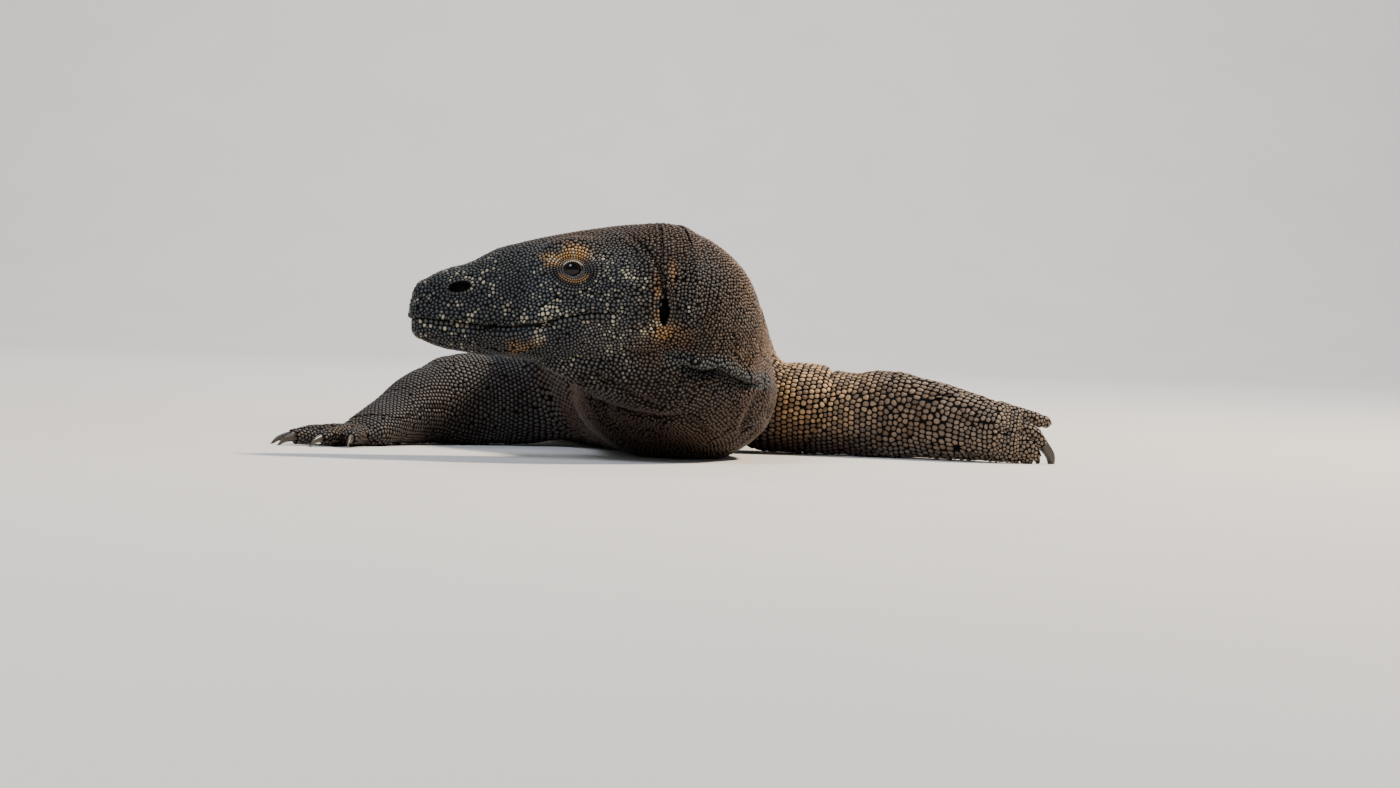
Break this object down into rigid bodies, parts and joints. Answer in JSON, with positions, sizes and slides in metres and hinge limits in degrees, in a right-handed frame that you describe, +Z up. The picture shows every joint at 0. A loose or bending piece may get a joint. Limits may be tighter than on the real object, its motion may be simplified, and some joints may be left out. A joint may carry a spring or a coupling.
{
  "type": "komodo dragon",
  "caption": "Life-size still model of a resting Komodo dragon, belly and limbs flat on the ground, head turned to its right.",
  "frame": {"origin": "on the floor, under the middle of the shoulders, on the flat of the chest", "axes": "+Z up; +Y along the trunk towards the tail; +X to the animal's left; the head is at the -Y end, turned towards -X"},
  "size_m": [0.69, 2.4935, 0.1946],
  "materials": {
    "skin": "dry scaly hide, charcoal brown with cream and rust flecks",
    "eye": "wet gloss, very dark brown",
    "eardrum": "thin dull membrane",
    "claw": "satin horn, nearly black"
  },
  "bodies": {
    "root": {"chest": "skin", "lower_jaw": "skin", "belly": "skin", "pelvis": "skin", "neck_base": "skin", "neck": "skin", "head": "skin", "tail_1": "skin", "tail_5": "skin", "tail_2": "skin", "tail_3": "skin", "tail_4": "skin", "eye_left": "eye", "ear_left": "eardrum", "eye_right": "eye", "ear_right": "eardrum", "right_hand": "skin", "right_forearm": "skin", "right_upper_arm": "skin", "right_hand_claw_1": "claw", "right_hand_claw_2": "claw", "right_hand_claw_3": "claw", "right_hand_claw_4": "claw", "right_hand_claw_5": "claw", "left_upper_arm": "skin", "left_forearm": "skin", "left_hand": "skin", "left_hand_claw_1": "claw", "left_hand_claw_2": "claw", "left_hand_claw_3": "claw", "left_hand_claw_4": "claw", "left_hand_claw_5": "claw", "right_shin": "skin", "right_thigh": "skin", "right_foot": "skin", "right_foot_claw_1": "claw", "right_foot_claw_2": "claw", "right_foot_claw_3": "claw", "right_foot_claw_4": "claw", "right_foot_claw_5": "claw", "left_thigh": "skin", "left_shin": "skin", "left_foot": "skin", "left_foot_claw_1": "claw", "left_foot_claw_2": "claw", "left_foot_claw_3": "claw", "left_foot_claw_4": "claw", "left_foot_claw_5": "claw"}
  },
  "joints": []
}
